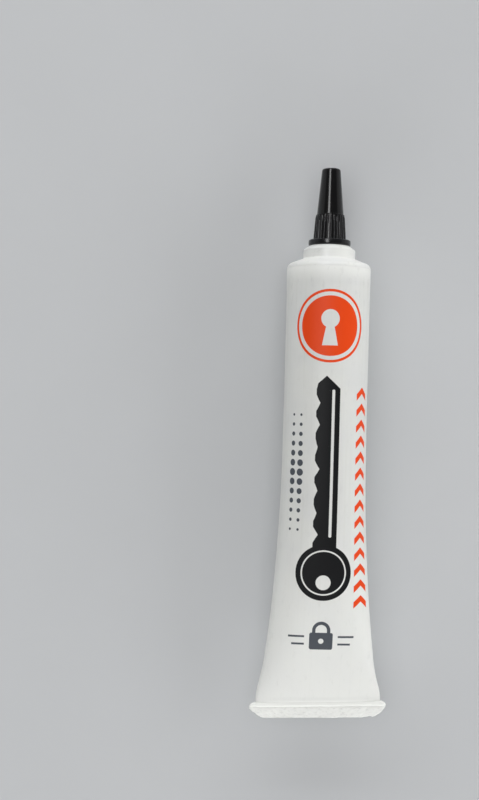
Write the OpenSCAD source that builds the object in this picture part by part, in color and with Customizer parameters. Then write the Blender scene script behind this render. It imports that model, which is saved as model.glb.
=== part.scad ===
// Squeeze tube for dry graphite lock lubricant.
// It lies on its side: the nozzle points to +Y, the front faces +Z, and the
// round end of the sleeve touches the surface at Z = 0.
// Each piece is drawn along its own axis, with Z = 0 at the upper edge of the
// tail seal, and is laid down as it is placed.

/* [Sleeve] */
// Outside diameter of the round part of the sleeve
tube_d = 25; // [20:0.5:32]
// Thickness of the sleeve wall
wall = 0.5; // [0.4:0.05:0.7]
// Length from the tail seal to the shoulder
sleeve_len = 129.5; // [110:0.5:160]
// Length over which the round sleeve is pinched flat towards the tail
pinch_len = 90; // [60:1:100]

/* [Tail seal] */
// Height of the sealed band across the tail
seal_len = 5.5; // [4:0.25:9]
// Flash squeezed out past each edge of the flattened sleeve
seal_flash = 1.1; // [0.3:0.1:2]
// Height of the weld bead above each face of the seal
bead_h = 0.25; // [0.1:0.05:0.5]

/* [Tube head] */
// Height of the sloping shoulder
shoulder_h = 3.1; // [2.5:0.1:5]
// Radius of the rounded shoulder edge
shoulder_round = 1.8; // [0.8:0.1:2.2]
// Diameter of the collar on the shoulder
collar_d = 15.5; // [14:0.1:17]
// Height of the collar
collar_h = 3.9; // [3:0.1:7]
// Height of the bevel round the top of the collar
bevel_h = 1.3; // [0.6:0.1:1.6]
// Wall thickness of the head
head_wall = 1.2; // [0.8:0.1:1.5]
// Length of the skirt that plugs the sleeve
skirt_len = 6; // [4:0.5:10]
// Diameter of the neck at the root of its thread
neck_d = 5.2; // [4.8:0.1:5.6]
// Length of the neck above the collar
neck_len = 6; // [5:0.25:8]
// Diameter of the spout where it leaves the neck
spout_base_d = 3.6; // [3:0.1:4]
// Diameter of the spout at its tip
spout_tip_d = 2; // [1.6:0.1:2.4]
// Diameter of the hole in the spout's tip
orifice_d = 1; // [0.8:0.1:1.2]

/* [Cap] */
// Diameter of the flange at the foot of the cap
flange_d = 12.6; // [12:0.1:14]
// Thickness of the flange
flange_h = 1.7; // [1:0.1:2.5]
// Diameter of the grip, over its ribs, where it leaves the flange
grip_base_d = 9.8; // [9.4:0.1:11]
// Diameter of the grip, over its ribs, where it meets the nose
grip_top_d = 8.7; // [8.4:0.1:9.4]
// Length of the ribbed grip
grip_len = 7.5; // [6:0.1:10]
// Number of ribs round the grip
rib_count = 28; // [16:1:32]
// Diameter of the nose where it leaves the grip
nose_base_d = 8; // [7.6:0.1:8.2]
// Diameter of the nose at its tip
nose_tip_d = 5.5; // [4.6:0.1:6]
// Length of the nose
nose_len = 13.9; // [12:0.1:18]
// Radius of the rounded edges of the cap
cap_round = 0.5; // [0.3:0.05:0.7]
// Thickness of the sealing wad inside the cap
wad_t = 0.8; // [0.5:0.1:1.2]

/* [Graphite] */
// Height of the settled powder above the surface that the tube lies on
fill_level = 13; // [6:0.5:18]

/* [Hidden] */
$fn = 96;

// Clearances
skirt_fit = 0.1;
powder_gap = 0.15;
thread_room = 0.45;
seat_gap = 0.1;
wad_gap = 0.05;
wad_fit = 0.2;
spout_room = 0.45;
pin_fit = 0.08;

// How far a cut runs past the piece that it cuts
overrun = 1;

// Shares that shape the pinched sleeve
lip_share = 0.07;
lip_len = 2;
pinch_power = 3;
station_power = 1.6;
ring_sides = 48;
pinch_rings = 18;
powder_sides = 24;
powder_rings = 10;

// Shares that shape the tail seal
corner_len_share = 0.66;
corner_w_share = 0.21;
corner_power = 1.25;
corner_steps = 4;
ear_share = 0.97;
ear_drop_share = 0.06;
bead_len_share = 0.3;

// Shares that shape the head, the cap and the ribs
land_share = 0.78;
arc_steps = 6;
tip_land_share = 0.15;
tip_bevel_share = 0.3;
rib_proud_share = 0.55;
rib_pitch_share = 0.5;
roof_share = 0.45;
pin_len_share = 0.75;

tube_r = tube_d / 2;
half_flat_full = PI / 2 * (tube_r - wall);
seal_half_w = half_flat_full + wall + seal_flash;
skirt_r = tube_r - wall - skirt_fit;
skirt_in_r = skirt_r - head_wall;
collar_r = collar_d / 2;
collar_in_r = collar_r - head_wall;
land_r = collar_r * land_share;
neck_r = neck_d / 2;
spout_base_r = spout_base_d / 2;
spout_tip_r = spout_tip_d / 2;
orifice_r = orifice_d / 2;
channel_r = (spout_base_r + orifice_r) / 2;

collar_top = shoulder_h + collar_h;
neck_top = collar_top + neck_len;
cap_foot = sleeve_len + collar_top + seat_gap;
cap_len = flange_h + grip_len + nose_len;
bore_r = neck_r + thread_room;
bore_len = neck_len - seat_gap + wad_gap + wad_t + wad_gap;
roof = nose_tip_d * roof_share / 2;
cavity_top = cap_len - roof;
spout_top = collar_top + seat_gap + cavity_top - spout_room;
pin_len = spout_room + (spout_top - neck_top) * tip_land_share * pin_len_share;
tube_len = seal_len + cap_foot + cap_len;

// Points along an arc about a centre, from angle a to angle b
function arc(centre, r, a, b, steps) =
    [for (i = [0:steps]) let (t = a + (b - a) * i / steps) centre + r * [cos(t), sin(t)]];

function smooth(t) = let (c = max(0, min(1, t))) c * c * (3 - 2 * c);

// How round the sleeve is at height z above the seal: 0 is flat, 1 is round
function roundness(z) =
    lip_share * smooth(z / lip_len)
    + (1 - lip_share) * (1 - pow(1 - min(1, z / pinch_len), pinch_power));

// Half the thickness and half the flat of the sleeve's outline, whose length
// round the outside is the same at every height
function half_t(z) = wall + (tube_r - wall) * roundness(z);
function half_flat(z) = PI / 2 * (tube_r - half_t(z));

// One closed outline: two half circles of radius r, pushed apart by 2 * flat
function ring(z, r, flat, sides) =
    let (corner = r / cos(180 / sides))
    [for (i = [0:sides - 1])
        let (a = (i + 0.5) * 360 / sides)
        [corner * cos(a) + sign(cos(a)) * flat, corner * sin(a), z]];

// Half the width of the tail seal at height t above its lower edge. Its corners
// are cut off nearly straight.
function seal_half(t) =
    let (corner_len = seal_len * corner_len_share,
         corner_w = seal_half_w * corner_w_share,
         u = max(0, 1 - t / corner_len))
    seal_half_w - corner_w * (1 - pow(1 - pow(u, corner_power), 1 / corner_power));

// A skin through outlines that all have the same number of points
module skin(rings) {
    sides = len(rings[0]);
    last = len(rings) - 1;
    points = [for (r = rings) for (p = r) p];
    side_faces = [for (k = [0:last - 1]) for (i = [0:sides - 1])
        let (j = (i + 1) % sides, a = k * sides, b = (k + 1) * sides)
        each [[a + i, b + i, b + j], [a + i, b + j, a + j]]];
    foot = [for (i = [0:sides - 1]) i];
    head = [for (i = [sides - 1:-1:0]) last * sides + i];
    polyhedron(points, concat([foot], side_faces, [head]));
}

// Lays a piece down, with its axis along +Y and its middle over the origin
module lay_down() {
    translate([0, seal_len - tube_len / 2, tube_r])
        rotate([-90, 0, 0])
            children();
}

pinch_heights = [for (i = [1:pinch_rings]) pinch_len * pow(i / pinch_rings, station_power)];
bead_len = seal_len * bead_len_share;
ear_drop = seal_len * ear_drop_share;

// Extruded plastic sleeve, flattened and welded shut across its tail
module sleeve() {
    corner_len = seal_len * corner_len_share;
    corner_rings = [for (i = [0:corner_steps])
        let (t = corner_len * (1 - cos(90 * i / corner_steps)))
        ring(t - seal_len, wall, seal_half(t) - wall, ring_sides)];
    bead_rings = [
        ring(-bead_len, wall, seal_half_w - wall, ring_sides),
        ring(-bead_len / 2, wall + bead_h, seal_half_w - wall - bead_h, ring_sides),
        ring(-ear_drop, wall, seal_half_w * ear_share - wall, ring_sides)
    ];
    outer_rings = [for (z = concat([0], pinch_heights, [sleeve_len]))
        ring(z, half_t(z), half_flat(z), ring_sides)];
    inner_heights = concat(pinch_heights, [sleeve_len]);
    inner_rings = [for (i = [len(inner_heights) - 1:-1:0])
        let (z = inner_heights[i]) ring(z, half_t(z) - wall, half_flat(z), ring_sides)];
    color("whitesmoke")
        lay_down()
            skin(concat(corner_rings, bead_rings, outer_rings, inner_rings));
}

// Moulded head: skirt, shoulder, collar, neck and fine spout
module tube_head() {
    edge_centre = [tube_r - shoulder_round, 0];
    reach = [collar_r, shoulder_h] - edge_centre;
    edge_end = atan2(reach.y, reach.x) - acos(shoulder_round / norm(reach));
    tip_bevel = (spout_tip_r - orifice_r) * tip_bevel_share;
    tip_land = (spout_top - neck_top) * tip_land_share;
    outside = concat(
        [[skirt_in_r, -skirt_len], [skirt_r, -skirt_len], [skirt_r, 0]],
        arc(edge_centre, shoulder_round, 0, edge_end, arc_steps),
        [[collar_r, shoulder_h], [collar_r, collar_top - bevel_h], [land_r, collar_top],
         [neck_r, collar_top], [neck_r, neck_top], [spout_base_r, neck_top],
         [spout_tip_r, spout_top - tip_bevel], [spout_tip_r - tip_bevel, spout_top]]);
    inside = [[orifice_r, spout_top], [orifice_r, spout_top - tip_land],
        [channel_r, neck_top], [channel_r, collar_top - head_wall],
        [collar_in_r, collar_top - bevel_h - head_wall], [collar_in_r, shoulder_h - head_wall],
        [skirt_in_r, 0]];
    color("white")
        lay_down()
            translate([0, 0, sleeve_len])
                rotate_extrude()
                    polygon(concat(outside, inside));
}

// Graphite powder, settled level along the lower side of the sleeve
module graphite_charge() {
    powder_end = sleeve_len - skirt_len - powder_gap;
    heights = concat(
        [for (i = [2:powder_rings]) pinch_len * pow(i / powder_rings, station_power)],
        [powder_end]);
    box = [2 * seal_half_w, tube_len, tube_d];
    color("dimgray")
        intersection() {
            lay_down()
                skin([for (z = heights)
                    ring(z, half_t(z) - wall - powder_gap, half_flat(z), powder_sides)]);
            translate([-box.x / 2, -box.y / 2, fill_level - box.z])
                cube(box);
        }
}

// Soft washer that the cap presses on the end of the neck
module cap_wad() {
    color("ivory")
        lay_down()
            translate([0, 0, sleeve_len + neck_top + wad_gap])
                difference() {
                    cylinder(h = wad_t, r = bore_r - wad_fit);
                    translate([0, 0, -overrun])
                        cylinder(h = wad_t + 2 * overrun, r = spout_base_r + wad_fit);
                }
}

// Screw cap: flange, ribbed grip and long tapered nose over the spout
module cap() {
    grip_top = flange_h + grip_len;
    rib_r = PI * grip_base_d / rib_count * rib_pitch_share / 2;
    rib_proud = rib_r * rib_proud_share;
    core_base_r = grip_base_d / 2 - rib_proud;
    core_top_r = grip_top_d / 2 - rib_proud;
    rib_slope = atan2(core_base_r - core_top_r, grip_len);
    nose_slope = atan2((nose_base_d - nose_tip_d) / 2, nose_len);
    outside = concat(
        [[0, 0], [flange_d / 2 - cap_round, 0]],
        arc([flange_d / 2 - cap_round, cap_round], cap_round, -90, 0, arc_steps),
        arc([flange_d / 2 - cap_round, flange_h - cap_round], cap_round, 0, 90, arc_steps),
        [[core_base_r, flange_h], [core_top_r, grip_top], [nose_base_d / 2, grip_top]],
        arc([nose_tip_d / 2 - cap_round, cap_len - cap_round], cap_round, nose_slope, 90, arc_steps),
        [[0, cap_len]]);
    cavity = [[0, -overrun], [bore_r, -overrun], [bore_r, bore_len],
        [spout_base_r + spout_room, bore_len], [spout_tip_r + spout_room, cavity_top],
        [orifice_r - pin_fit, cavity_top], [orifice_r - pin_fit, cavity_top - pin_len],
        [0, cavity_top - pin_len]];
    color("#1a1a1c")
        lay_down()
            translate([0, 0, cap_foot])
                difference() {
                    union() {
                        rotate_extrude() polygon(outside);
                        for (i = [0:rib_count - 1])
                            rotate([0, 0, i * 360 / rib_count])
                                translate([core_base_r + rib_proud - rib_r, 0, flange_h])
                                    rotate([0, -rib_slope, 0])
                                        translate([0, 0, -cap_round])
                                            cylinder(h = grip_len + cap_round, r = rib_r);
                    }
                    rotate_extrude() polygon(cavity);
                }
}

sleeve();
tube_head();
graphite_charge();
cap_wad();
cap();
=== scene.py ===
"""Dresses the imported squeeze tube.

It has a pinched sleeve with a printed front, a moulded head, a ribbed cap, and the threads of neck and cap.
"""

import bisect
import math

import bmesh
import bpy
from mathutils import Matrix, Vector, noise


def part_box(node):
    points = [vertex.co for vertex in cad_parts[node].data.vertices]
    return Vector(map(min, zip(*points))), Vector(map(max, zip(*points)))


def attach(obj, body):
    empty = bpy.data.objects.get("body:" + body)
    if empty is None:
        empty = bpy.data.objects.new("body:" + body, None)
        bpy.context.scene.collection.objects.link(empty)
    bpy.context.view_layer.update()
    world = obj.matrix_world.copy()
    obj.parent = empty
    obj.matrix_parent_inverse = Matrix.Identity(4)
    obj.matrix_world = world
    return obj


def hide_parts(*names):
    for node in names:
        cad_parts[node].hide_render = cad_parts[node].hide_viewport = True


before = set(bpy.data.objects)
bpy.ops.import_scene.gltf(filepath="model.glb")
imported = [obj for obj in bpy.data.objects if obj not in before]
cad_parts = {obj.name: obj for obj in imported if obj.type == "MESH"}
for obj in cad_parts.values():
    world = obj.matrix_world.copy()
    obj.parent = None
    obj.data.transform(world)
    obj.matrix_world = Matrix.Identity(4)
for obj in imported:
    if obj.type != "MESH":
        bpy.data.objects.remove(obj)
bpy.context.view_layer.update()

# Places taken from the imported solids
MM = 0.001
sleeve_low, sleeve_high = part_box("sleeve")
head_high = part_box("tube_head")[1]
cap_low, cap_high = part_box("cap")
SEAL_LEN = 5.5
TUBE_R = (sleeve_high.z - sleeve_low.z) / 2 / MM
AXIS_Z = (sleeve_high.z + sleeve_low.z) / 2
SEAL_Y = sleeve_low.y + SEAL_LEN * MM
SLEEVE_LEN = (sleeve_high.y - SEAL_Y) / MM
SEAL_HALF_W = sleeve_high.x / MM
CAP_FOOT = (cap_low.y - SEAL_Y) / MM
CAP_LEN = (cap_high.y - cap_low.y) / MM
SPOUT_TOP = (head_high.y - SEAL_Y) / MM - SLEEVE_LEN

# Sleeve sizes in millimetres, with the shares and powers that shape it
WALL = 0.5
PINCH_LEN = 90.0
PINCH_POWER = 3
FLATNESS = 2.0
LIP_SHARE = 0.02
LIP_LEN = 6.0
SEAM_FILL = 0.2
SEAM_FILL_LEN = 1.1
SEAM_HALF_W = 18.7
SEAM_EASE = 0.4
SEAM_GIVE = 0.6
MOUTH_ROUND = 0.05
SIDE_SWELL = 0.22
SWELL_AT = 43.0
SWELL_LEN = 22.0
TAIL_WAIST = 0.27
WAIST_AT = 11.0
WAIST_LEN = 5.0

# Dents in the sleeve's thin wall, in millimetres
BROAD_DENT = 0.26
BROAD_DENT_W = 13.0
BROAD_DENT_LEN = 21.0
SMALL_DENT = 0.05
SMALL_DENT_W = 4.5
SMALL_DENT_LEN = 9.0
DENT_FREE_TAIL = 6.0
DENT_FREE_HEAD = 14.0
FIRM_SHARE = 0.35
FIRM_AT = 75.0
FIRM_LEN = 60.0
DENT_MOST_SHARE = 0.3

# The welded tail band in millimetres, with shares of its height
BAND_HALF_T = 0.44
LEFT_CORNER_W = 4.0
LEFT_CORNER_LEN = 3.2
LEFT_CORNER_POWER = 1.25
RIGHT_CORNER_W = 4.5
RIGHT_CORNER_LEN = 4.1
RIGHT_CORNER_POWER = 1.5
EAR_DROP = 1.5
EAR_SHARE = 0.24
EAR_POWER = 2.4
BEAD_PROUD = 0.22
BEAD_AT_SHARE = 0.87
BEAD_HALF_SHARE = 0.15
BEAD_SQUARE_POWER = 4
BEAD_FULL_POWER = 0.7
TOP_FILL_SHARE = 0.16
CRIMP_DEPTH = 0.16
CRIMP_W = 1.8
CRIMP_ROWS = 3
PIT_DEPTH = 0.08
PIT_W = 0.7
PIT_ROWS = 5
CRIMP_TOP_SHARE = 0.75
CRIMP_FADE_SHARE = 0.2
GROOVE_DEPTH = 0.09
GROOVE_UNEVEN = 0.05
GROOVE_UNEVEN_W = 4.0
GROOVE_AT_SHARE = 0.67
GROOVE_HALF_SHARE = 0.045
EDGE_THIN_SHARE = 0.45
EDGE_ROUND_SHARE = 0.06
EDGE_WAVE = 0.55
EDGE_WAVE_W = 6.5
NICK_GAIN = 1.5
NICK_W = 1.5
NICK_FROM = 0.1
EDGE_CURL = 0.3
EDGE_CURL_W = 6.0
WELD_SKEW = 0.039
EDGE_SKEW = 0.024
SKEW_FADE = 9.0

# Head sizes in millimetres
SHOULDER_H = 3.1
SHOULDER_ROUND = 1.8
COLLAR_R = 7.75
COLLAR_TOP = 7.0
BEVEL_H = 1.3
LAND_R = 6.045
NECK_R = 2.6
NECK_TOP = 13.0
SKIRT_LEN = 6.0
SKIRT_R = 11.9
HEAD_WALL = 1.2
SPOUT_BASE_R = 1.8
SPOUT_TIP_R = 1.0
SPOUT_TIP_BEVEL = 0.25
ORIFICE_R = 0.5
ORIFICE_LEN = 2.2
SKIRT_ROUND = 0.2
COLLAR_FOOT_ROUND = 0.45
BEVEL_FOOT_ROUND = 0.35
LAND_ROUND = 0.4
NECK_FOOT_ROUND = 0.3
NECK_ROUND = 0.2
SPOUT_TIP_ROUND = 0.1
SPOUT_END_ROUND = 0.08
ORIFICE_ROUND = 0.06
COLLAR_ROOF_ROUND = 0.5
COLLAR_INSIDE_ROUND = 0.4
SKIRT_INSIDE_ROUND = 0.6

# Cap sizes in millimetres
FLANGE_R = 6.3
FLANGE_H = 1.7
GRIP_BASE_R = 4.9
GRIP_TOP_R = 4.35
GRIP_TOP = 9.2
GRIP_TOP_INSET = 0.4
GRIP_FOOT_INSET = 0.35
NOSE_BASE_R = 4.0
NOSE_TIP_R = 2.75
BORE_R = 3.05
BORE_LEN = 6.8
BORE_BEVEL = 0.35
SPOUT_ROOM = 0.45
PIN_R = 0.42
PIN_LEN = 2.3
ROOF = 1.2375
GATE_R = 0.55
GATE_RIM_R = 0.75
GATE_SINK = 0.12
FINE_ROUND = 0.1
NOSE_TIP_ROUND = 0.65
NOSE_FOOT_ROUND = 0.3
FLANGE_FILLET = 0.3
FLANGE_TOP_ROUND = 0.45
FLANGE_FOOT_ROUND = 0.4
CAVITY_ROUND = 0.2
PIN_ROUND = 0.12
RIBS = 28
RIB_COLUMNS = 12
RIB_R = 0.275
RIB_PROUD = 0.151
RIB_RUN_OUT = 0.7
RIB_CLEAR = 0.1
RING_SLACK = 0.01
RUBBED_EDGE_W = 0.35
RUBBED_EDGE_FADE = 0.3
RUBBED_EDGE_RISE = 0.8
RUBBED_EDGE_SHARE = 0.7

# Thread sizes in millimetres, with shares of a ridge's height, half width and length
LEAD = 4.0
STARTS = 2
THREAD_FOOT = 0.9
THREAD_RISE = 4.1
RIDGE_HALF_W = 0.42
RIDGE_PROUD = 0.3
RIDGE_ROOT = 0.08
FLANK_H_SHARE = 0.75
FLANK_W_SHARE = 0.55
CREST_W_SHARE = 0.25
RIDGE_FADE_SHARE = 0.12


def at(x, along, up):
    """A point in the row frame, from millimetres across, along from the tail seal and above the axis."""
    return Vector((x * MM, SEAL_Y + along * MM, AXIS_Z + up * MM))


def smooth(t):
    """An eased step from 0 to 1."""
    t = min(1.0, max(0.0, t))
    return t * t * (3 - 2 * t)


def ripple(x, y, seed):
    """Smooth unevenness between about -1 and 1."""
    return noise.noise(Vector((x, y, seed)))


# Mesh making


def loft(rings, looped=False):
    """Points and faces of a skin through rings of equal count; a ring of one point closes an end."""
    points = []
    starts = []
    for ring in rings:
        starts.append(len(points))
        points.extend(ring)
    faces = []
    spans = list(zip(rings, rings[1:], starts, starts[1:]))
    if looped:
        spans.append((rings[-1], rings[0], starts[-1], 0))
    for below, above, low, high in spans:
        sides = max(len(below), len(above))
        for i in range(sides):
            j = (i + 1) % sides
            if len(below) == 1:
                faces.append((low, high + j, high + i))
            elif len(above) == 1:
                faces.append((low + i, low + j, high))
            else:
                faces.append((low + i, low + j, high + j, high + i))
    return points, faces


def zip_end(start, sides):
    """Faces that close a flat ring by joining its front half to its back half."""
    half = sides // 2
    faces = [(start, start + 1, start + sides - 1)]
    for i in range(1, half - 1):
        faces.append((start + i, start + i + 1, start + sides - i - 1, start + sides - i))
    faces.append((start + half - 1, start + half, start + half + 1))
    return faces


def make_piece(name, points, faces, body, finish, stands_for=(), sharp=40):
    """One smooth-shaded piece that rides on a body; edges over the sharp angle, in degrees, stay crisp."""
    mesh = bpy.data.meshes.new(name)
    mesh.from_pydata(points, [], faces)
    build = bmesh.new()
    build.from_mesh(mesh)
    bmesh.ops.recalc_face_normals(build, faces=build.faces)
    build.to_mesh(mesh)
    build.free()
    for face in mesh.polygons:
        face.use_smooth = True
    mesh.set_sharp_from_angle(angle=math.radians(sharp))
    mesh.materials.append(finish)
    piece = bpy.data.objects.new(name, mesh)
    bpy.context.scene.collection.objects.link(piece)
    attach(piece, body)
    if stands_for:
        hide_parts(*stands_for)
    return piece


def note_points(piece, name, values):
    """Stores one number per point for the finishes to read."""
    layer = piece.data.attributes.new(name, "FLOAT", "POINT")
    layer.data.foreach_set("value", values)


def arc_points(centre, radius, start, end, steps):
    """Points along an arc, from one angle to another in degrees."""
    angles = [math.radians(start + (end - start) * i / steps) for i in range(steps + 1)]
    return [(centre[0] + radius * math.cos(a), centre[1] + radius * math.sin(a)) for a in angles]


def rounded(corners, steps=6):
    """An outline through corners of (radius, height, rounding), each turned with its own rounding."""
    outline = []
    for k, (x, y, r) in enumerate(corners):
        if r == 0 or k in (0, len(corners) - 1):
            outline.append((x, y))
            continue
        here = Vector((x, y))
        back = (Vector(corners[k - 1][:2]) - here).normalized()
        on = (Vector(corners[k + 1][:2]) - here).normalized()
        half = back.angle(on) / 2
        centre = here + (back + on).normalized() * (r / math.sin(half))
        first = here + back * (r / math.tan(half)) - centre
        last = here + on * (r / math.tan(half)) - centre
        for i in range(steps + 1):
            spoke = first.normalized().slerp(last.normalized(), i / steps) * r
            outline.append((centre.x + spoke.x, centre.y + spoke.y))
    return outline


# Shader values and finishes


class Value:
    """A socket's value. Arithmetic on it adds Math nodes."""

    def __init__(self, finish, socket):
        self.finish = finish
        self.socket = socket

    def __add__(self, other):
        return self.finish.maths("ADD", self, other)

    def __sub__(self, other):
        return self.finish.maths("SUBTRACT", self, other)

    def __mul__(self, other):
        return self.finish.maths("MULTIPLY", self, other)

    def __truediv__(self, other):
        return self.finish.maths("DIVIDE", self, other)

    def __pow__(self, other):
        return self.finish.maths("POWER", self, other)

    def __radd__(self, other):
        return self.finish.maths("ADD", other, self)

    def __rsub__(self, other):
        return self.finish.maths("SUBTRACT", other, self)

    def __rmul__(self, other):
        return self.finish.maths("MULTIPLY", other, self)

    def __abs__(self):
        return self.finish.maths("ABSOLUTE", self)

    def __mod__(self, other):
        return self.finish.maths("FLOORED_MODULO", self, other)


class Finish:
    """A node-built material, or a world."""

    def __init__(self, name, store=bpy.data.materials):
        self.material = store.new(name)
        self.material.use_nodes = True
        self.tree = self.material.node_tree
        self.tree.nodes.clear()

    def node(self, kind, settings=None, sockets=None, output=0):
        """Adds a node: its settings first, then its sockets' values or links."""
        made = self.tree.nodes.new(kind)
        for name, setting in (settings or {}).items():
            setattr(made, name, setting)
        for name, given in (sockets or {}).items():
            if isinstance(given, Value):
                self.tree.links.new(given.socket, made.inputs[name])
            else:
                made.inputs[name].default_value = given
        return Value(self, made.outputs[output]) if made.outputs else None

    def maths(self, operation, *terms):
        return self.node("ShaderNodeMath", {"operation": operation}, dict(enumerate(terms)))

    def least(self, a, b):
        return self.maths("MINIMUM", a, b)

    def most(self, a, b):
        return self.maths("MAXIMUM", a, b)

    def step(self, value, low, high):
        """An eased step from 0 at low to 1 at high."""
        sockets = {"Value": value, "From Min": low, "From Max": high}
        return self.node("ShaderNodeMapRange", {"interpolation_type": "SMOOTHSTEP"}, sockets)

    def blend(self, share, a, b):
        """Colour a where share is 0, b where it is 1."""
        return self.node("ShaderNodeMix", {"data_type": "RGBA"}, {0: share, 6: a, 7: b}, 2)

    def noted(self, name):
        """A number stored on the points of the piece."""
        return self.node("ShaderNodeAttribute", {"attribute_name": name}, None, "Fac")

    def place(self, stretch=(1, 1, 1)):
        """The row-frame place in millimetres, stretched for long textures."""
        where = self.node("ShaderNodeTexCoord", None, None, "Object")
        scale = [s / MM for s in stretch]
        return self.node("ShaderNodeVectorMath", {"operation": "MULTIPLY"}, {0: where, 1: scale})

    def joined(self, x, y):
        """A place on the unrolled sleeve."""
        return self.node("ShaderNodeCombineXYZ", None, {"X": x, "Y": y})

    def stretched(self, x, y, rates):
        """A place on the unrolled sleeve, each way times its rate."""
        return self.joined(x * rates[0], y * rates[1])

    def grain(self, where, scale=1.0, detail=3.0, roughness=0.55):
        """Soft noise about 0.5."""
        sockets = {"Vector": where, "Scale": scale, "Detail": detail, "Roughness": roughness}
        return self.node("ShaderNodeTexNoise", None, sockets)

    def bump(self, height, depth, strength):
        """A normal from a height, with its depth in millimetres."""
        sockets = {"Height": height, "Distance": depth * MM, "Strength": strength}
        return self.node("ShaderNodeBump", None, sockets)

    def plastic(self, varying, constants):
        """Ends the finish in a Principled shader."""
        shader = self.node("ShaderNodeBsdfPrincipled", None, {**constants, **varying})
        self.node("ShaderNodeOutputMaterial", None, {"Surface": shader})
        return self.material


def ink(red, green, blue):
    """A colour as a shader takes it, from screen values of 0 to 255."""
    linear = []
    for part in (red, green, blue):
        share = part / 255
        linear.append(share / 12.92 if share <= 0.04045 else ((share + 0.055) / 1.055) ** 2.4)
    return (*linear, 1.0)


# The printed front, in millimetres around from its middle and along from the tail seal

BADGE_AT = 112.0
BADGE_R = 8.8
BADGE_RING_R = 10.3
BADGE_RING_HALF = 0.38
KEYHOLE_R = 2.7
KEYHOLE_RISE = 2.1
KEYHOLE_WAIST_RISE = 1.5
KEYHOLE_WAIST_HALF_W = 0.9
KEYHOLE_FLARE = 0.2
KEYHOLE_FOOT_DROP = 2.1
KEYHOLE_FOOT_HALF_H = 3.6
BOW_AT = 40.0
BOW_R = 8.3
BOW_EYE_R = 2.2
BOW_EYE_DROP = 2.9
BOW_LINE_R = 6.5
BOW_LINE_HALF = 0.22
BLADE_HALF_W = 3.5
BLADE_FOOT = 46.5
BLADE_TIP = 97.5
TIP_ASIDE = 0.6
TIP_SLOPE = 0.9
NOTCH_PITCH = 6.4
NOTCH_DEPTH = 1.7
NOTCH_SWING_PITCH = 2.7 * NOTCH_PITCH
NOTCH_FLAT_SHARE = 0.25
NOTCH_LEAST_SHARE = 0.45
NOTCH_SWING_SHARE = 0.75
GROOVE_ASIDE = 1.5
GROOVE_HALF_W = 0.42
GROOVE_INSET = 4.0
ARROWS_AT = 11.9
ARROWS_FOOT = 30.0
ARROWS = 14
ARROW_PITCH = 4.7
ARROW_HALF_W = 2.5
ARROW_HALF_T = 0.95
ARROW_SLOPE = 0.8
DOTS_AT = -9.6
DOTS_FOOT = 51.0
DOT_ROWS = 13
DOT_PITCH = 2.8
DOT_R = 1.1
DOT_FADE_SHARE = 0.7
LOCK_AT = 19.4
LOCK_HALF_W = 3.5
LOCK_HALF_H = 2.6
LOCK_ROUND = 0.6
LOCK_HOLE_R = 0.8
SHACKLE_RISE = 3.3
SHACKLE_R = 2.2
SHACKLE_HALF = 0.5
LEG_DROP = 0.7
LEG_HALF_H = 0.8
RULE_HALF_T = 0.3
UPPER_RULE_ASIDE = 7.4
UPPER_RULE_RISE = 1.4
UPPER_RULE_HALF_LEN = 2.4
LOWER_RULE_ASIDE = 6.9
LOWER_RULE_DROP = 0.9
LOWER_RULE_HALF_LEN = 1.9
PRINT_EDGE = 0.07
PRINT_RAGGED = 0.12


def disc(x, y, cx, cy, radius):
    """Distance outside a disc."""
    return ((x - cx) ** 2 + (y - cy) ** 2) ** 0.5 - radius


def slab(f, x, y, cx, cy, half_w, half_h, radius=0.0):
    """Distance outside a rectangle with round corners."""
    dx = abs(x - cx) - (half_w - radius)
    dy = abs(y - cy) - (half_h - radius)
    outside = (f.most(dx, 0.0) ** 2 + f.most(dy, 0.0) ** 2) ** 0.5
    return outside + f.least(f.most(dx, dy), 0.0) - radius


def badge_shape(f, x, y):
    """A disc with a keyhole left bare, inside a thin ring."""
    dot = disc(x, y, 0.0, BADGE_AT, BADGE_R)
    ring = abs(disc(x, y, 0.0, BADGE_AT, BADGE_RING_R)) - BADGE_RING_HALF
    eye = disc(x, y, 0.0, BADGE_AT + KEYHOLE_RISE, KEYHOLE_R)
    fall = BADGE_AT + KEYHOLE_WAIST_RISE - y
    foot_sides = abs(x) - (KEYHOLE_WAIST_HALF_W + KEYHOLE_FLARE * fall)
    foot_ends = abs(y - (BADGE_AT - KEYHOLE_FOOT_DROP)) - KEYHOLE_FOOT_HALF_H
    keyhole = f.least(eye, f.most(foot_sides, foot_ends))
    return f.least(f.most(dot, 0.0 - keyhole), ring)


def key_shape(f, x, y):
    """A door key, tip up: an eyed bow with a thin line, a notched blade with a groove, and a pointed tip."""
    bow = disc(x, y, 0.0, BOW_AT, BOW_R)
    eye = disc(x, y, 0.0, BOW_AT - BOW_EYE_DROP, BOW_EYE_R)
    line = abs(disc(x, y, 0.0, BOW_AT, BOW_LINE_R)) - BOW_LINE_HALF
    wave = abs((y / NOTCH_PITCH) % 1.0 - 0.5) * 2
    swing = abs((y / NOTCH_SWING_PITCH) % 1.0 - 0.5) * 2
    deep = NOTCH_LEAST_SHARE + NOTCH_SWING_SHARE * swing
    bite = f.most(wave - NOTCH_FLAT_SHARE, 0.0) * NOTCH_DEPTH * deep
    sides = f.most(bite - BLADE_HALF_W - x, x - BLADE_HALF_W)
    ends = f.most(BLADE_FOOT - y, y + abs(x + TIP_ASIDE) * TIP_SLOPE - BLADE_TIP)
    middle = (BLADE_FOOT + BLADE_TIP) / 2
    groove_half = (BLADE_TIP - BLADE_FOOT) / 2 - GROOVE_INSET
    groove = slab(f, x, y, GROOVE_ASIDE, middle, GROOVE_HALF_W, groove_half, GROOVE_HALF_W)
    solid = f.least(f.most(bow, 0.0 - eye), f.most(sides, ends))
    return f.most(solid, 0.0 - f.least(groove, line))


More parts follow.
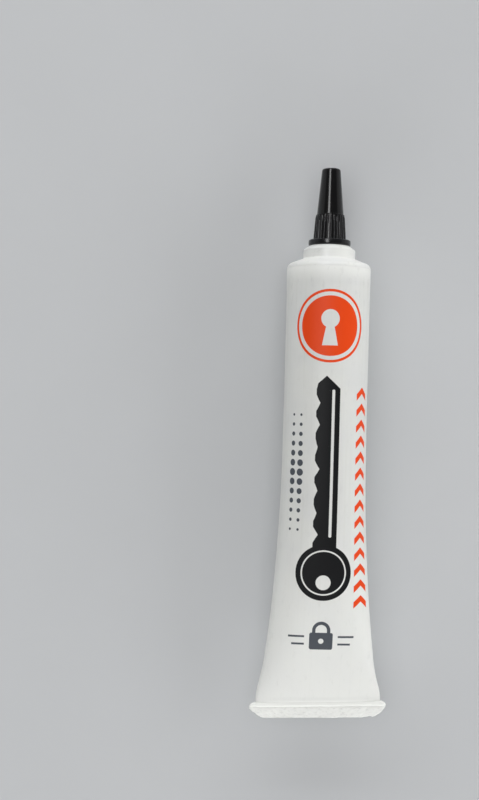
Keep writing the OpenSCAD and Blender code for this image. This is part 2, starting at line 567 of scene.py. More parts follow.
def arrow_column(f, x, y):
    """A column of chevrons that point to the spout."""
    aside = abs(x - ARROWS_AT)
    rise = y - ARROWS_FOOT + aside * ARROW_SLOPE
    half = ARROWS * ARROW_PITCH / 2
    place = rise % ARROW_PITCH - ARROW_PITCH / 2
    bars = f.most(abs(place) - ARROW_HALF_T, aside - ARROW_HALF_W)
    return f.most(bars, abs(rise - half) - half)


def dot_column(f, x, y):
    """A band of dots, like a puff of powder, that fade out towards its ends."""
    half = DOT_ROWS * DOT_PITCH / 2
    off = abs(y - DOTS_FOOT - half)
    size = DOT_R * (1.0 - DOT_FADE_SHARE * off / half)
    dx = (x - DOTS_AT) % DOT_PITCH - DOT_PITCH / 2
    dy = (y - DOTS_FOOT) % DOT_PITCH - DOT_PITCH / 2
    dots = (dx ** 2 + dy ** 2) ** 0.5 - size
    return f.most(dots, f.most(abs(x - DOTS_AT) - DOT_PITCH, off - half))


def lock_shape(f, x, y):
    """A small padlock between short rules."""
    aside = abs(x)
    case = slab(f, x, y, 0.0, LOCK_AT, LOCK_HALF_W, LOCK_HALF_H, LOCK_ROUND)
    hole = disc(x, y, 0.0, LOCK_AT, LOCK_HOLE_R)
    bend = LOCK_AT + SHACKLE_RISE
    arch = abs(disc(x, y, 0.0, bend, SHACKLE_R)) - SHACKLE_HALF
    leg_sides = abs(aside - SHACKLE_R) - SHACKLE_HALF
    legs = f.most(leg_sides, abs(y - (bend - LEG_DROP)) - LEG_HALF_H)
    shackle = f.least(f.most(arch, bend - y), legs)
    lock = f.least(f.most(case, 0.0 - hole), shackle)
    upper = LOCK_AT + UPPER_RULE_RISE
    lower = LOCK_AT - LOWER_RULE_DROP
    rules = f.least(
        slab(f, aside, y, UPPER_RULE_ASIDE, upper, UPPER_RULE_HALF_LEN, RULE_HALF_T),
        slab(f, aside, y, LOWER_RULE_ASIDE, lower, LOWER_RULE_HALF_LEN, RULE_HALF_T),
    )
    return f.least(lock, rules)


def printed(f, shape, wobble):
    """How much ink covers a place, with a slightly ragged edge."""
    return 1 - f.step(shape + wobble, -PRINT_EDGE, PRINT_EDGE)


# Colours

WHITE = ink(225, 226, 222)
WHITE_COOL = ink(221, 222, 220)
WHITE_SHADE = ink(211, 212, 205)
# Painted sheen: a whiter white for the weld band and the zone above it, standing in for light
PAINTED_SHEEN_WHITE = ink(250, 251, 247)
GRAPHITE_SMEAR = ink(150, 151, 149)
HEAD_WHITE = ink(241, 242, 238)
HEAD_COOL = ink(237, 238, 236)
GRAPHITE_DUST = ink(62, 63, 66)
RED_INK = ink(235, 72, 14)
BLACK_INK = ink(16, 17, 19)
GREY_INK = ink(78, 83, 90)
CAP_BLACK = ink(12, 12, 13)
CAP_RUBBED = ink(34, 34, 37)
FOAM = ink(226, 222, 210)
FOAM_SMUDGE = ink(120, 119, 116)
POWDER_DARK = ink(44, 45, 48)
POWDER_PALE = ink(82, 84, 88)
FLOOR_GREY = ink(200, 202, 204)
FLOOR_PALE = ink(205, 207, 209)

# Textures of the sleeve: rates around and along, places in millimetres along, and shares of colour
STREAK_RATES = (0.9, 0.012)
HAIR_RATES = (6.0, 0.05)
SMEAR_RATES = (0.55, 0.22)
CRIMP_RATES = (0.8, 1.6)
STREAK_SHARE = 0.28
# The pale zone from the weld up is a painted sheen that fades out along the sleeve
PAINTED_SHEEN_SHARE = 0.5
PAINTED_SHEEN_FROM = 14.0
PAINTED_SHEEN_TO = 66.0
MOUTH_BLEND_LEN = 5.0
SMEAR_SHARE = 0.1
MOUTH_SMEAR_SHARE = 0.12
MOUTH_SMEAR_FROM = 112.0
MOUTH_SMEAR_TO = 127.0
WELD_FROM = -0.6
WELD_TO = 0.9
# Grey mottling over the crimped lower band, towards the cut edge
CRIMP_MOTTLE_SHARE = 0.18
CRIMP_MOTTLE_FROM = -2.2
CRIMP_MOTTLE_TO = -1.4
WORN_SHARE = 0.5

# Shares of colour in the other finishes, and the roughness and gloss of all
HEAD_SMEAR_SHARE = 0.16
DUST_GAIN = 0.45
DUST_SHARE = 0.85
RUBBED_SHARE = 0.6
SCUFF_SHARE = 0.35
SMUDGE_SHARE = 0.5
GLINT_METAL_SHARE = 0.6
GLINT_SMOOTH = 0.3
SLEEVE_ROUGHNESS = 0.42
HEAD_ROUGHNESS = 0.36
CAP_ROUGHNESS = 0.15
WAD_ROUGHNESS = 0.8
POWDER_ROUGHNESS = 0.62
FLOOR_ROUGHNESS = 0.85
PLASTIC_IOR = 1.5
POWDER_IOR = 1.6
SLEEVE_GLOSS = 0.2
CAP_GLOSS = 0.4


def sleeve_ground(f, x, y, streak):
    """The sleeve's plastic without its print: streaked, with a painted sheen that pales it towards the weld
    and paints the weld band palest, smeared near the mouth.
    """
    cloud = f.grain(f.joined(x, y), scale=0.06)
    smear = f.step(f.grain(f.stretched(x, y, SMEAR_RATES), detail=5.0, roughness=0.65), 0.54, 0.76)
    crimp = f.step(f.grain(f.stretched(x, y, CRIMP_RATES), detail=4.0, roughness=0.6), 0.5, 0.68)
    near_mouth = SMEAR_SHARE + MOUTH_SMEAR_SHARE * f.step(y, MOUTH_SMEAR_FROM, MOUTH_SMEAR_TO)
    # The crimped lower band is mottled grey in the smear colour, towards its cut edge
    on_band = CRIMP_MOTTLE_SHARE * (1 - f.step(y, CRIMP_MOTTLE_FROM, CRIMP_MOTTLE_TO))
    ground = f.blend(f.step(cloud, 0.35, 0.65), WHITE, WHITE_COOL)
    ground = f.blend(f.step(streak, 0.5, 0.72) * STREAK_SHARE, ground, WHITE_SHADE)
    # Painted sheen: paler towards the weld
    ground = f.blend(PAINTED_SHEEN_SHARE - f.step(y, PAINTED_SHEEN_FROM, PAINTED_SHEEN_TO) * PAINTED_SHEEN_SHARE, ground, PAINTED_SHEEN_WHITE)
    ground = f.blend(f.step(y, SLEEVE_LEN - MOUTH_BLEND_LEN, SLEEVE_LEN), ground, HEAD_WHITE)
    ground = f.blend(smear * near_mouth, ground, GRAPHITE_SMEAR)
    # Painted sheen: the weld band painted palest
    ground = f.blend(1 - f.step(y, WELD_FROM, WELD_TO), ground, PAINTED_SHEEN_WHITE)
    return f.blend(crimp * on_band, ground, GRAPHITE_SMEAR)


def sleeve_finish():
    """Satin white polyethylene with lengthwise drawing streaks and a printed front."""
    f = Finish("satin_sleeve")
    x = f.noted("around")
    y = f.noted("along")
    streak = f.grain(f.stretched(x, y, STREAK_RATES), detail=4.0, roughness=0.6)
    hair = f.grain(f.stretched(x, y, HAIR_RATES), detail=2.0)
    fine = f.grain(f.joined(x, y), scale=3.2)
    wobble = (fine - 0.5) * PRINT_RAGGED
    worn = f.step(f.grain(f.joined(x, y), scale=1.4, detail=5.0, roughness=0.7), 0.69, 0.76)
    cover = 1 - worn * WORN_SHARE
    badge = printed(f, badge_shape(f, x, y), wobble)
    red = f.most(badge, printed(f, arrow_column(f, x, y), wobble))
    black = printed(f, key_shape(f, x, y), wobble)
    grey = printed(f, f.least(lock_shape(f, x, y), dot_column(f, x, y)), wobble)
    colour = f.blend(red * cover, sleeve_ground(f, x, y, streak), RED_INK)
    colour = f.blend(black * cover, colour, BLACK_INK)
    colour = f.blend(grey * cover, colour, GREY_INK)
    inked = f.most(f.most(red, black), grey)
    roughness = SLEEVE_ROUGHNESS + (streak - 0.5) * 0.16 + (fine - 0.5) * 0.1 + inked * 0.1
    relief = hair * 0.2 + fine * 0.6 + inked * 0.25
    normal = f.bump(relief, depth=0.02, strength=0.8)
    return f.plastic(
        {"Base Color": colour, "Roughness": roughness, "Normal": normal},
        {"IOR": PLASTIC_IOR, "Specular IOR Level": SLEEVE_GLOSS},
    )


def head_finish():
    """Moulded white polyethylene, with graphite dust about the spout's mouth."""
    f = Finish("moulded_head")
    where = f.place()
    fine = f.grain(where, scale=2.6)
    cloud = f.grain(where, scale=0.12)
    smear = f.step(f.grain(where, scale=0.5, detail=5.0, roughness=0.65), 0.54, 0.76)
    flecks = f.grain(where, scale=3.5, detail=5.0, roughness=0.7)
    dust = f.step(flecks + f.noted("dusty") * DUST_GAIN, 0.72, 0.95)
    ground = f.blend(f.step(cloud, 0.35, 0.65), HEAD_WHITE, HEAD_COOL)
    ground = f.blend(smear * HEAD_SMEAR_SHARE, ground, GRAPHITE_SMEAR)
    colour = f.blend(dust * DUST_SHARE, ground, GRAPHITE_DUST)
    roughness = HEAD_ROUGHNESS + (fine - 0.5) * 0.14 + dust * 0.2
    normal = f.bump(fine, depth=0.012, strength=0.7)
    return f.plastic(
        {"Base Color": colour, "Roughness": roughness, "Normal": normal},
        {"IOR": PLASTIC_IOR},
    )


def cap_finish():
    """Semi-gloss black moulding, a little paler where fingers rub the ribs."""
    f = Finish("black_cap")
    flow = f.grain(f.place((1, 0.12, 1)), scale=1.6, detail=4.0)
    fine = f.grain(f.place(), scale=4.0)
    scuff = f.step(f.grain(f.place((1, 0.4, 1)), scale=1.1, detail=6.0, roughness=0.7), 0.58, 0.72)
    wear = f.least(f.noted("rubbed") * RUBBED_SHARE + scuff * SCUFF_SHARE, 1.0)
    colour = f.blend(wear, CAP_BLACK, CAP_RUBBED)
    roughness = CAP_ROUGHNESS + (flow - 0.5) * 0.08 + wear * 0.16
    normal = f.bump(flow * 0.5 + fine * 0.5, depth=0.008, strength=0.6)
    return f.plastic(
        {"Base Color": colour, "Roughness": roughness, "Normal": normal},
        {"IOR": PLASTIC_IOR, "Specular IOR Level": CAP_GLOSS},
    )


def wad_finish():
    """Fine closed-cell foam, smudged by the powder."""
    f = Finish("foam_wad")
    where = f.place()
    cells = f.node("ShaderNodeTexVoronoi", None, {"Vector": where, "Scale": 5.0}, "Distance")
    smudge = f.step(f.grain(where, scale=0.9, detail=4.0), 0.5, 0.75)
    colour = f.blend(smudge * SMUDGE_SHARE, FOAM, FOAM_SMUDGE)
    normal = f.bump(cells, depth=0.05, strength=0.8)
    return f.plastic({"Base Color": colour, "Normal": normal}, {"Roughness": WAD_ROUGHNESS})


def powder_finish():
    """Dark grey graphite with glinting flakes."""
    f = Finish("graphite_powder")
    where = f.place()
    lumps = f.grain(where, scale=0.9, detail=6.0, roughness=0.65)
    flakes = f.node("ShaderNodeTexVoronoi", None, {"Vector": where, "Scale": 5.0}, "Color")
    glint = f.step(f.node("ShaderNodeSeparateColor", None, {"Color": flakes}), 0.8, 0.95)
    colour = f.blend(lumps, POWDER_DARK, POWDER_PALE)
    roughness = POWDER_ROUGHNESS - glint * GLINT_SMOOTH
    metallic = glint * GLINT_METAL_SHARE
    normal = f.bump(lumps, depth=0.3, strength=0.9)
    return f.plastic(
        {"Base Color": colour, "Roughness": roughness, "Metallic": metallic, "Normal": normal},
        {"IOR": POWDER_IOR},
    )


# The sleeve

COLUMNS = 384
BAND_RINGS = 40
BAND_CROWD = 0.6
PINCH_RINGS = 96
PINCH_CROWD_POWER = 1.6
BARREL_RINGS = 12
INNER_FROM = 6
INNER_STEP = 3
INNER_GAP = 0.02
OVAL_STEPS = 240


def half_thickness(along):
    """Half the sleeve's depth, which falls from round to flat towards the tail."""
    pinch = 1 - (1 - min(1.0, along / PINCH_LEN)) ** PINCH_POWER
    roundness = LIP_SHARE * smooth(along / LIP_LEN) + (1 - LIP_SHARE) * pinch
    fillet = SEAM_FILL * math.exp(-((along / SEAM_FILL_LEN) ** 2))
    return WALL + (TUBE_R - WALL) * roundness + fillet


def flattened(share, half_w, half_t):
    """Place across and up, and the outward direction, on a flat-sided ring; share runs from -1 to 1."""
    flat = half_w - half_t
    travel = abs(share) * (2 * flat + math.pi * half_t)
    side = 1 if share >= 0 else -1
    if travel <= flat:
        return side * travel, half_t, (0.0, 1.0)
    turn = (travel - flat) / half_t
    if turn <= math.pi:
        out = (side * math.sin(turn), math.cos(turn))
        return side * flat + half_t * out[0], half_t * out[1], out
    return side * (2 * flat + math.pi * half_t - travel), -half_t, (0.0, -1.0)


def upper_quarter(half_w, half_t):
    """Fine points of the sleeve's front from its middle to its side, a soft oval, and the travel to each."""
    power = 2 + FLATNESS * (1 - half_t / TUBE_R)
    points = []
    for i in range(OVAL_STEPS + 1):
        turn = math.pi / 2 * i / OVAL_STEPS
        across = half_w * math.sin(turn) ** (2 / power)
        up = half_t * abs(math.cos(turn)) ** (2 / power)
        points.append((across, up))
    travel = [0.0]
    for here, there in zip(points, points[1:]):
        travel.append(travel[-1] + math.dist(here, there))
    return power, points, travel


def sleeve_ring(shares, half_w, half_t):
    """Places across and up, and outward directions: a soft oval in front and a flat-sided ring behind."""
    power, points, travel = upper_quarter(half_w, half_t)
    ring = []
    for share in shares:
        if abs(share) > 0.5:
            ring.append(flattened(share, half_w, half_t))
            continue
        goal = abs(share) * 2 * travel[-1]
        k = min(bisect.bisect_right(travel, goal), OVAL_STEPS)
        part = (goal - travel[k - 1]) / (travel[k] - travel[k - 1])
        x = points[k - 1][0] + (points[k][0] - points[k - 1][0]) * part
        up = points[k - 1][1] + (points[k][1] - points[k - 1][1]) * part
        lean = Vector(((x / half_w) ** (power - 1) / half_w, (up / half_t) ** (power - 1) / half_t))
        out = lean.normalized()
        side = 1 if share >= 0 else -1
        ring.append((side * x, up, (side * out.x, out.y)))
    return ring


def sleeve_half_w(along, half_t):
    """Half the sleeve's width, with its girth kept but eased at the sides and gathered at the seal."""
    half_w = math.pi / 2 * (TUBE_R - half_t) + half_t
    half_w += SIDE_SWELL * math.exp(-(((along - SWELL_AT) / SWELL_LEN) ** 2))
    half_w -= TAIL_WAIST * math.exp(-(((along - WAIST_AT) / WAIST_LEN) ** 2))
    over = half_w - SEAM_HALF_W + SEAM_EASE
    return half_w if over <= 0 else SEAM_HALF_W - SEAM_EASE + over / (1 + over / SEAM_GIVE)


def dent(share, along):
    """How far the thin wall sinks in from its true form."""
    around = share * math.pi * TUBE_R
    slack = smooth(along / DENT_FREE_TAIL) * smooth((SLEEVE_LEN - along) / DENT_FREE_HEAD)
    soft = FIRM_SHARE + (1 - FIRM_SHARE) * smooth((FIRM_AT - along) / FIRM_LEN)
    broad = 0.5 + 0.5 * ripple(around / BROAD_DENT_W, along / BROAD_DENT_LEN, seed=3.1)
    small = 0.5 + 0.5 * ripple(around / SMALL_DENT_W, along / SMALL_DENT_LEN, seed=7.7)
    return slack * soft * (BROAD_DENT * broad + SMALL_DENT * small)


def band_half_w(t, side):
    """Half width of the tail band from its cut edge, 0, to the seal, 1."""
    corner_w = RIGHT_CORNER_W if side > 0 else LEFT_CORNER_W
    corner_len = RIGHT_CORNER_LEN if side > 0 else LEFT_CORNER_LEN
    power = RIGHT_CORNER_POWER if side > 0 else LEFT_CORNER_POWER
    fall = max(0.0, 1 - t * SEAL_LEN / corner_len)
    half_w = SEAL_HALF_W - corner_w * (1 - (1 - fall ** power) ** (1 / power))
    return half_w - EAR_DROP * max(0.0, (t - 1 + EAR_SHARE) / EAR_SHARE) ** EAR_POWER


def band_half_t(t, around):
    """Half depth of the tail band: a soft cut edge, a crimped flat, a groove and a rolled bead."""
    edge_place = 1 - min(1.0, t / EDGE_ROUND_SHARE)
    edge = EDGE_THIN_SHARE + (1 - EDGE_THIN_SHARE) * math.sqrt(1 - edge_place ** 2)
    crimp = CRIMP_DEPTH * ripple(around / CRIMP_W, t * CRIMP_ROWS, seed=5.2)
    pits = PIT_DEPTH * ripple(around / PIT_W, t * PIT_ROWS, seed=8.4)
    flat = BAND_HALF_T + (crimp + pits) * smooth((CRIMP_TOP_SHARE - t) / CRIMP_FADE_SHARE)
    groove_depth = GROOVE_DEPTH + GROOVE_UNEVEN * ripple(around / GROOVE_UNEVEN_W, 1.0, seed=2.3)
    groove = groove_depth * math.exp(-(((t - GROOVE_AT_SHARE) / GROOVE_HALF_SHARE) ** 2))
    bead_place = (t - BEAD_AT_SHARE) / BEAD_HALF_SHARE
    bead_form = max(0.0, 1 - bead_place ** BEAD_SQUARE_POWER) ** BEAD_FULL_POWER
    bead = (BEAD_PROUD + WALL - BAND_HALF_T) * bead_form
    top = (WALL + SEAM_FILL - BAND_HALF_T) * smooth((t - 1 + TOP_FILL_SHARE) / TOP_FILL_SHARE)
    return (flat - groove) * edge + max(bead, top)


def cut_edge(x):
    """How far the cut edge of the tail wanders in from the end."""
    broad = 0.5 + 0.5 * ripple(x / EDGE_WAVE_W, 0.3, seed=11.0)
    nick = max(0.0, ripple(x / NICK_W, 0.8, seed=4.0) - NICK_FROM)
    return EDGE_WAVE * (broad + NICK_GAIN * nick)


def edge_curl(t, x):
    """How far the thin band waves up or down towards its cut edge."""
    return EDGE_CURL * (1 - t) * ripple(x / EDGE_CURL_W, 0.7, seed=14.0)


def skewed(x, along):
    """How far the weld, run a little out of square, carries a point along the tube."""
    if along >= 0:
        return WELD_SKEW * x * (1 - smooth(along / SKEW_FADE))
    down = -along / SEAL_LEN
    skew = WELD_SKEW + (EDGE_SKEW - WELD_SKEW) * down
    return skew * (x + down * (SEAL_HALF_W - LEFT_CORNER_W))


def band_point(t, share):
    """A point of the tail band, at a share of its height and of the way round."""
    around = share * math.pi * TUBE_R
    x, up = flattened(share, band_half_w(t, share), band_half_t(t, around))[:2]
    along = -SEAL_LEN + t * SEAL_LEN + (1 - t) * cut_edge(x)
    return x, along, up + edge_curl(t, x)


def wall_ring(shares, along, depth):
    """A ring of the dented sleeve, at a depth below its outside."""
    half_t = half_thickness(along)
    places = sleeve_ring(shares, sleeve_half_w(along, half_t), half_t)
    points = []
    for share, (x, up, out) in zip(shares, places):
        sink = min(dent(share, along), half_t * DENT_MOST_SHARE) + depth
        sink = min(sink, half_t - INNER_GAP)
        points.append((x - out[0] * sink, along, up - out[1] * sink))
    return points


def mouth_ring(shares, radius):
    """A round ring in the plane of the sleeve's mouth."""
    turns = [math.pi * share for share in shares]
    return [(radius * math.sin(turn), SLEEVE_LEN, radius * math.cos(turn)) for turn in turns]


def sleeve_rings():
    """Outer rings from the cut tail to the mouth, then inner rings back to the seal."""
    shares = [-1 + 2 * (i + 0.5) / COLUMNS for i in range(COLUMNS)]
    rings = []
    notes = []

    def add(points):
        rings.append([at(x, along + skewed(x, along), up) for x, along, up in points])
        notes.append([along for x, along, up in points])

    for k in range(BAND_RINGS):
        even = k / BAND_RINGS
        t = even - BAND_CROWD * math.sin(2 * math.pi * even) / (2 * math.pi)
        add([band_point(t, share) for share in shares])
    barrel_len = SLEEVE_LEN - MOUTH_ROUND - PINCH_LEN
    heights = [PINCH_LEN * (k / PINCH_RINGS) ** PINCH_CROWD_POWER for k in range(PINCH_RINGS)]
    heights += [PINCH_LEN + barrel_len * k / BARREL_RINGS for k in range(BARREL_RINGS + 1)]
    for along in heights:
        add(wall_ring(shares, along, 0.0))
    add(mouth_ring(shares, TUBE_R - MOUTH_ROUND))
    add(mouth_ring(shares, TUBE_R - WALL))
    for along in reversed(heights[INNER_FROM::INNER_STEP]):
        add(wall_ring(shares, along, WALL))
    return shares, rings, notes


def make_sleeve():
    """The sleeve, with each point's place on the unrolled print."""
    shares, rings, notes = sleeve_rings()
    points, faces = loft(rings)
    faces += zip_end(0, COLUMNS)
    faces += zip_end(len(points) - COLUMNS, COLUMNS)
    finish = sleeve_finish()
    sleeve = make_piece("tube_sleeve", points, faces, "tube", finish, ("sleeve",), sharp=50)
    girth = math.pi * TUBE_R
    note_points(sleeve, "around", [share * girth for ring in rings for share in shares])
    note_points(sleeve, "along", [along for ring in notes for along in ring])


# The head

HEAD_SIDES = 192
SHOULDER_STEPS = 12


def head_outline():
    """The head's section, up its outside to the spout's tip and back down its inside."""
    edge = (TUBE_R - SHOULDER_ROUND, 0.0)
    reach = (COLLAR_R - edge[0], SHOULDER_H)
    turn = math.degrees(math.atan2(reach[1], reach[0]) - math.acos(SHOULDER_ROUND / math.hypot(*reach)))
    shoulder = [(r, h, 0.0) for r, h in arc_points(edge, SHOULDER_ROUND, 0, turn, SHOULDER_STEPS)]
    skirt_in_r = SKIRT_R - HEAD_WALL
    collar_in_r = COLLAR_R - HEAD_WALL
    channel_r = (SPOUT_BASE_R + ORIFICE_R) / 2
    corners = [(skirt_in_r, -SKIRT_LEN, 0.0), (SKIRT_R, -SKIRT_LEN, SKIRT_ROUND), (SKIRT_R, 0.0, 0.0)]
    corners += shoulder
    corners += [
        (COLLAR_R, SHOULDER_H, COLLAR_FOOT_ROUND),
        (COLLAR_R, COLLAR_TOP - BEVEL_H, BEVEL_FOOT_ROUND),
        (LAND_R, COLLAR_TOP, LAND_ROUND),
        (NECK_R, COLLAR_TOP, NECK_FOOT_ROUND),
        (NECK_R, NECK_TOP, NECK_ROUND),
        (SPOUT_BASE_R, NECK_TOP, NECK_ROUND),
        (SPOUT_TIP_R, SPOUT_TOP - SPOUT_TIP_BEVEL, SPOUT_TIP_ROUND),
        (SPOUT_TIP_R - SPOUT_TIP_BEVEL, SPOUT_TOP, SPOUT_END_ROUND),
        (ORIFICE_R, SPOUT_TOP, ORIFICE_ROUND),
        (ORIFICE_R, SPOUT_TOP - ORIFICE_LEN, 0.0),
        (channel_r, NECK_TOP, 0.0),
        (channel_r, COLLAR_TOP - HEAD_WALL, NECK_ROUND),
        (collar_in_r, COLLAR_TOP - BEVEL_H - HEAD_WALL, COLLAR_ROOF_ROUND),
        (collar_in_r, SHOULDER_H - HEAD_WALL, COLLAR_INSIDE_ROUND),
        (skirt_in_r, 0.0, SKIRT_INSIDE_ROUND),
        (skirt_in_r, -SKIRT_LEN, 0.0),
    ]
    return rounded(corners)[:-1]


def make_head():
    """The head, with each point's share of dust; gives back its finish."""
    turns = [2 * math.pi * i / HEAD_SIDES for i in range(HEAD_SIDES)]
    rings = []
    dusty = []
    for radius, height in head_outline():
        along = SLEEVE_LEN + height
        rings.append([at(radius * math.sin(turn), along, radius * math.cos(turn)) for turn in turns])
        dust = max(0.0, (height - NECK_TOP) / (SPOUT_TOP - NECK_TOP)) ** 2
        dusty += [dust] * HEAD_SIDES
    points, faces = loft(rings, looped=True)
    finish = head_finish()
    head = make_piece("moulded_head", points, faces, "tube", finish, ("tube_head",), sharp=32)
    note_points(head, "dusty", dusty)
    return finish


# The cap

CAP_SIDES = RIBS * RIB_COLUMNS
GRIP_STEPS = 14


def grip_outline():
    """The grip's core between its ends, from top to foot, in steps short enough for the ribs."""
    top_r = GRIP_TOP_R - RIB_PROUD
    base_r = GRIP_BASE_R - RIB_PROUD
    top = GRIP_TOP - GRIP_TOP_INSET
    corners = []
    for k in range(GRIP_STEPS + 1):
        height = top - (top - FLANGE_H - GRIP_FOOT_INSET) * k / GRIP_STEPS
        down = (GRIP_TOP - height) / (GRIP_TOP - FLANGE_H)
        corners.append((top_r + (base_r - top_r) * down, height, 0.0))
    return corners


def cap_outline():
    """The cap's section from its tip, down its outside and back up its bore to the sealing pin."""
    cavity_top = CAP_LEN - ROOF
    corners = [
        (0.0, CAP_LEN - GATE_SINK, 0.0),
        (GATE_R, CAP_LEN - GATE_SINK, FINE_ROUND),
        (GATE_RIM_R, CAP_LEN, FINE_ROUND),
        (NOSE_TIP_R, CAP_LEN, NOSE_TIP_ROUND),
        (NOSE_BASE_R, GRIP_TOP, NOSE_FOOT_ROUND),
        (GRIP_TOP_R - RIB_PROUD, GRIP_TOP, FINE_ROUND),
    ]
    corners += grip_outline()
    corners += [
        (GRIP_BASE_R - RIB_PROUD, FLANGE_H, FLANGE_FILLET),
        (FLANGE_R, FLANGE_H, FLANGE_TOP_ROUND),
        (FLANGE_R, 0.0, FLANGE_FOOT_ROUND),
        (BORE_R + BORE_BEVEL, 0.0, FINE_ROUND),
        (BORE_R, BORE_BEVEL, FINE_ROUND),
        (BORE_R, BORE_LEN, 0.0),
        (SPOUT_BASE_R + SPOUT_ROOM, BORE_LEN, FINE_ROUND),
        (SPOUT_TIP_R + SPOUT_ROOM, cavity_top, CAVITY_ROUND),
        (PIN_R, cavity_top, FINE_ROUND),
        (PIN_R, cavity_top - PIN_LEN, PIN_ROUND),
        (0.0, cavity_top - PIN_LEN, 0.0),
    ]
    return rounded(corners)


def rib_rise(turn, radius):
    """How far a half-round rib stands out of the grip at an angle."""
    pitch = 2 * math.pi / RIBS
    off = (turn + pitch / 2) % pitch - pitch / 2
    centre = radius + RIB_PROUD - RIB_R
    across = centre * math.sin(off)
    if abs(across) >= RIB_R:
        return 0.0
    return max(0.0, centre * math.cos(off) + math.sqrt(RIB_R ** 2 - across ** 2) - radius)


def make_cap():
    """The cap, with each point's share of rubbing; gives back its finish."""
    rings = []
    rubbed = []
    for radius, height in cap_outline():
        if radius == 0:
            rings.append([at(0, CAP_FOOT + height, 0)])
            rubbed.append(0.0)
            continue
        gripped = radius > NOSE_BASE_R + RIB_CLEAR and FLANGE_H - RING_SLACK < height < GRIP_TOP
        full = smooth((GRIP_TOP - height) / RIB_RUN_OUT) if gripped else 0.0
        edge = smooth((radius - FLANGE_R + RUBBED_EDGE_W) / RUBBED_EDGE_FADE)
        edge *= smooth(height / RUBBED_EDGE_RISE) * RUBBED_EDGE_SHARE
        ring = []
        for i in range(CAP_SIDES):
            turn = 2 * math.pi * i / CAP_SIDES
            rise = rib_rise(turn, radius) * full
            reach = min(radius + rise, FLANGE_R)
            ring.append(at(reach * math.sin(turn), CAP_FOOT + height, reach * math.cos(turn)))
            rubbed.append(max(edge, rise / RIB_PROUD))
        rings.append(ring)
    points, faces = loft(rings)
    finish = cap_finish()
    cap = make_piece("ribbed_cap", points, faces, "screw_cap", finish, ("cap",), sharp=38)
    note_points(cap, "rubbed", rubbed)
    return finish


# The threads

RIDGE_STEPS = 90


def thread_ridge(root_r, proud, foot, start):
    """One thread start: a rounded ridge on a right-hand helix, faded in and out at its ends."""
    sunk = -RIDGE_ROOT if proud > 0 else RIDGE_ROOT
    rings = []
    for k in range(RIDGE_STEPS + 1):
        share = k / RIDGE_STEPS
        turn = start + 2 * math.pi * THREAD_RISE * share / LEAD
        fade = smooth(share / RIDGE_FADE_SHARE) * smooth((1 - share) / RIDGE_FADE_SHARE)
        crest = proud * fade
        section = [
            (sunk, -RIDGE_HALF_W),
            (crest * FLANK_H_SHARE, -RIDGE_HALF_W * FLANK_W_SHARE),
            (crest, -RIDGE_HALF_W * CREST_W_SHARE),
            (crest, RIDGE_HALF_W * CREST_W_SHARE),
            (crest * FLANK_H_SHARE, RIDGE_HALF_W * FLANK_W_SHARE),
            (sunk, RIDGE_HALF_W),
        ]
        ring = []
        for out, up in section:
            radius = root_r + out
            along = foot + THREAD_RISE * share + up
            ring.append(at(radius * math.sin(turn), along, radius * math.cos(turn)))
        rings.append(ring)
    points, faces = loft(rings)
    count = len(rings[0])
    faces.append(tuple(range(count)))
    faces.append(tuple(range(len(points) - count, len(points))))
    return points, faces


def make_thread(name, root_r, proud, phase, body, finish):
    """All starts of a thread that stands out of a neck, or into a bore where proud is negative."""
    foot = SLEEVE_LEN + COLLAR_TOP + THREAD_FOOT
    points = []
    faces = []
    for start in range(STARTS):
        ridge, skin = thread_ridge(root_r, proud, foot, phase + 2 * math.pi * start / STARTS)
        faces += [tuple(i + len(points) for i in face) for face in skin]
        points += ridge
    make_piece(name, points, faces, body, finish)


make_sleeve()
head_white = make_head()
cap_black = make_cap()
make_thread("neck_thread", NECK_R, RIDGE_PROUD, 0.0, "tube", head_white)
make_thread("cap_thread", BORE_R, -RIDGE_PROUD, math.pi / 2, "screw_cap", cap_black)

for node, finish in (("cap_wad", wad_finish()), ("graphite_charge", powder_finish())):
    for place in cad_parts[node].material_slots:
        place.material = finish

# Floor, lights and camera, with the floor and the lamps in metres

FLOOR_R = 3.0
FLOOR_SIDES = 96
LAMP_FAR = 14.0
SKY_PALE = (0.5, 0.505, 0.51, 1.0)
SKY_DIM = (0.13, 0.13, 0.13, 1.0)
HORIZON_FROM = 0.3
HORIZON_TO = 0.5
PHOTO_W = 479
PHOTO_H = 800
MM_PER_PIXEL = 0.30
ROLL = math.radians(1.5)
EYE_HEIGHT_MM = 360.0
ORIGIN_PIXEL = (324.25, 444.5)
SENSOR_MM = 36.0
NEAR_CLIP = 0.01


def make_floor():
    """A wide pale round floor."""
    turns = [2 * math.pi * i / FLOOR_SIDES for i in range(FLOOR_SIDES)]
    rim = [(FLOOR_R * math.cos(turn), FLOOR_R * math.sin(turn), 0) for turn in turns]
    mesh = bpy.data.meshes.new("floor")
    mesh.from_pydata(rim, [], [range(FLOOR_SIDES)])
    f = Finish("pale_floor")
    mottle = f.grain(f.place(), scale=0.02)
    colour = f.blend(mottle, FLOOR_GREY, FLOOR_PALE)
    mesh.materials.append(f.plastic({"Base Color": colour}, {"Roughness": FLOOR_ROUGHNESS}))
    floor = bpy.data.objects.new("floor", mesh)
    bpy.context.scene.collection.objects.link(floor)


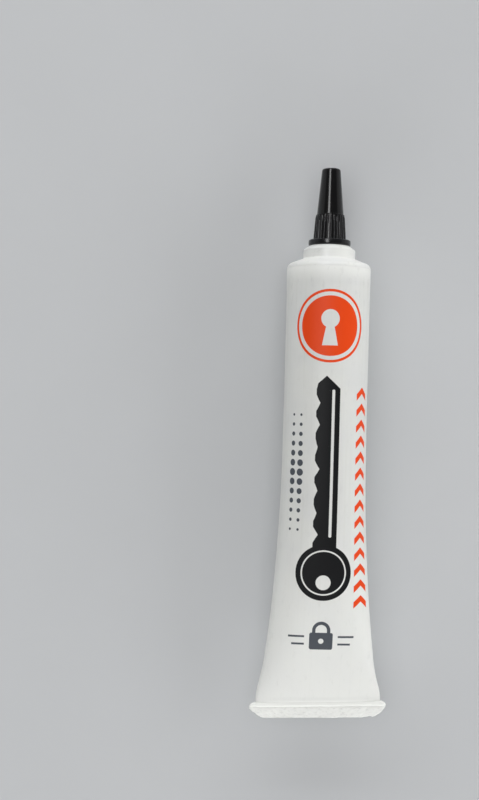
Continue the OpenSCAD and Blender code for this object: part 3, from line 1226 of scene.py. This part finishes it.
def softbox(name, towards, run, spread, level, matte=True, gloss=False):
    """A far rectangular lamp in a direction from the tube, its length run along another.

    Its spread is its width and length in degrees, and its level is the light on a face turned to it.
    """
    lamp = bpy.data.lights.new(name, "AREA")
    lamp.shape = "RECTANGLE"
    lamp.size, lamp.size_y = [2 * LAMP_FAR * math.tan(math.radians(angle / 2)) for angle in spread]
    lamp.energy = level * math.pi * LAMP_FAR ** 2
    back = Vector(towards).normalized()
    across = Vector(run).cross(back).normalized()
    turn = Matrix((across, back.cross(across), back)).transposed()
    obj = bpy.data.objects.new(name, lamp)
    obj.matrix_world = Matrix.Translation(back * LAMP_FAR) @ turn.to_4x4()
    obj.visible_camera = False
    obj.visible_diffuse = matte
    obj.visible_glossy = gloss
    bpy.context.scene.collection.objects.link(obj)


def light_studio():
    """A dim sky, with a horizon that only looks and reflects pale, and soft lamps about the tube."""
    f = Finish("studio", bpy.data.worlds)
    direction = f.node("ShaderNodeTexCoord", None, None, "Generated")
    height = f.node("ShaderNodeSeparateXYZ", None, {"Vector": direction}, "Z")
    seen = 0
    for ray in ("Is Camera Ray", "Is Glossy Ray", "Is Transmission Ray"):
        seen = seen + f.node("ShaderNodeLightPath", None, None, ray)
    horizon = 1 - f.step(height, HORIZON_FROM, HORIZON_TO)
    sky = f.node("ShaderNodeBackground", None, {"Color": f.blend(horizon * seen, SKY_DIM, SKY_PALE)})
    f.node("ShaderNodeOutputWorld", None, {"Surface": sky})
    bpy.context.scene.world = f.material
    along = (0, 1, 0)
    aside = (1, 0, 0)
    softbox("key", (1.15, -0.05, 0.36), along, (30, 60), 1.57)
    softbox("fill", (0.0, -1.1, 0.3), aside, (26, 70), 2.5)
    softbox("back", (-0.1, 1.1, 0.34), aside, (26, 66), 2.3)
    softbox("top", (-0.18, 0.0, 1.0), along, (60, 60), 1.3)
    softbox("strip", (-0.24, 0.3, 0.8), along, (13, 54), 1.8, matte=False, gloss=True)
    softbox("glint", (0.25, -0.75, 0.6), aside, (16, 90), 1.2, matte=False, gloss=True)
    softbox("rim", (-0.1, 0.85, 0.5), aside, (10, 30), 0.7, matte=False, gloss=True)


def set_camera():
    """Looks straight down at the lying tube, framed as the photograph is."""
    right = Vector((math.cos(ROLL), math.sin(ROLL), 0))
    up = Vector((-math.sin(ROLL), math.cos(ROLL), 0))
    across = (PHOTO_W / 2 - ORIGIN_PIXEL[0]) * MM_PER_PIXEL
    rise = (ORIGIN_PIXEL[1] - PHOTO_H / 2) * MM_PER_PIXEL
    camera = bpy.data.cameras.new("camera")
    camera.sensor_width = SENSOR_MM
    camera.lens = SENSOR_MM * EYE_HEIGHT_MM / (PHOTO_H * MM_PER_PIXEL)
    camera.clip_start = NEAR_CLIP
    eye = (right * across + up * rise) * MM + Vector((0, 0, AXIS_Z + EYE_HEIGHT_MM * MM))
    turn = Matrix((right, up, right.cross(up))).transposed()
    obj = bpy.data.objects.new("camera", camera)
    obj.matrix_world = Matrix.Translation(eye) @ turn.to_4x4()
    bpy.context.scene.collection.objects.link(obj)
    bpy.context.scene.camera = obj


make_floor()
light_studio()
set_camera()
bpy.context.scene.view_settings.view_transform = "Standard"
